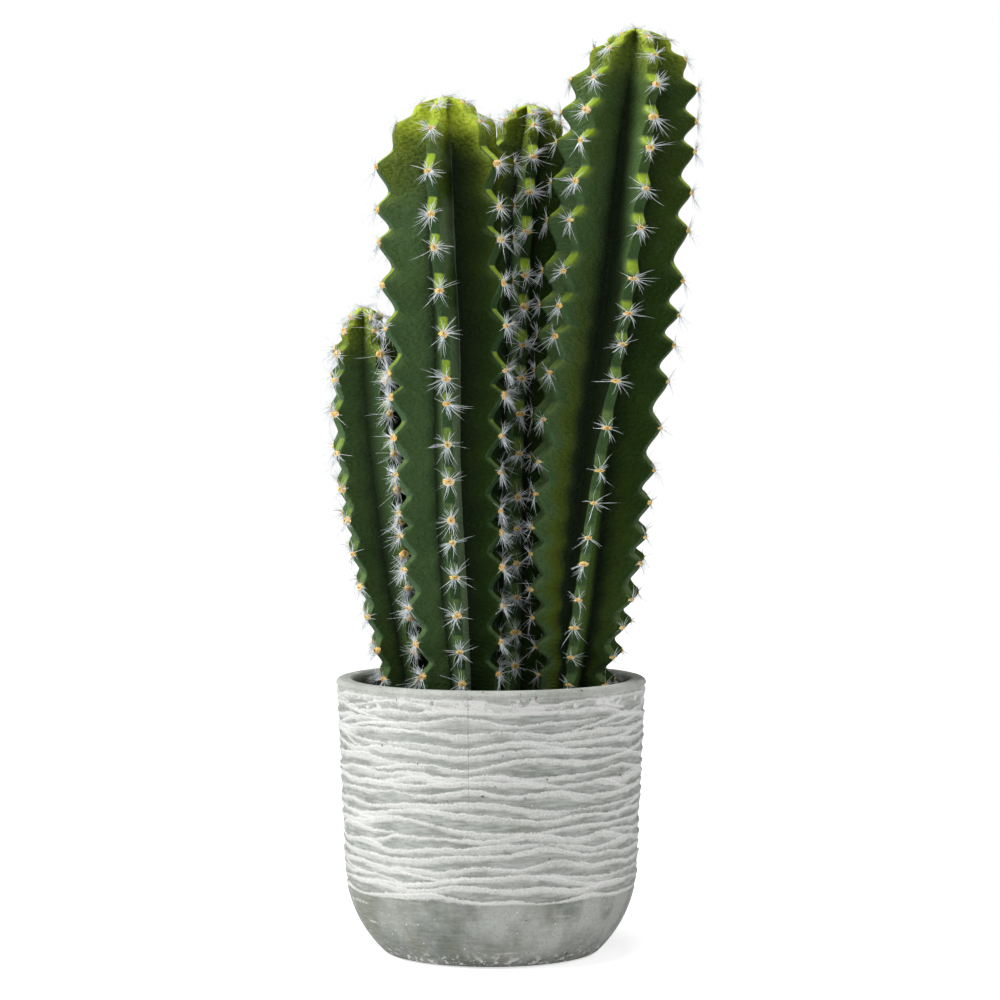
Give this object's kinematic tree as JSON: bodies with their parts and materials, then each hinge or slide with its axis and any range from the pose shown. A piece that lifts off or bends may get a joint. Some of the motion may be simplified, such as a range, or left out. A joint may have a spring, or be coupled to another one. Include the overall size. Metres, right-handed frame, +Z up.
{
  "type": "potted columnar cactus",
  "caption": "Clump of upright ribbed cactus stems with toothed rib edges, planted in dark soil in a round cement pot with wavy sideways ridges; stands on its flat base.",
  "frame": {"origin": "centre of the pot's flat base, on the surface it stands on", "axes": "+Z up along the stems, -Y towards the front of the clump, +X towards the tallest stem"},
  "size_m": [0.1846, 0.1564, 0.4622],
  "materials": {
    "cement": "matt grey cement with white lime wash on the ridges",
    "soil": "fine dark grit",
    "stem_skin": "matt green skin with a fine velvety grain, lime at the crowns",
    "areole_felt": "short golden felt",
    "spine": "thin white spines"
  },
  "bodies": {
    "root": {"pot": "cement", "soil": "soil", "stem_front_left": "stem_skin", "stem_right": "stem_skin", "stem_back": "stem_skin", "stem_small_left": "stem_skin"}
  },
  "joints": []
}
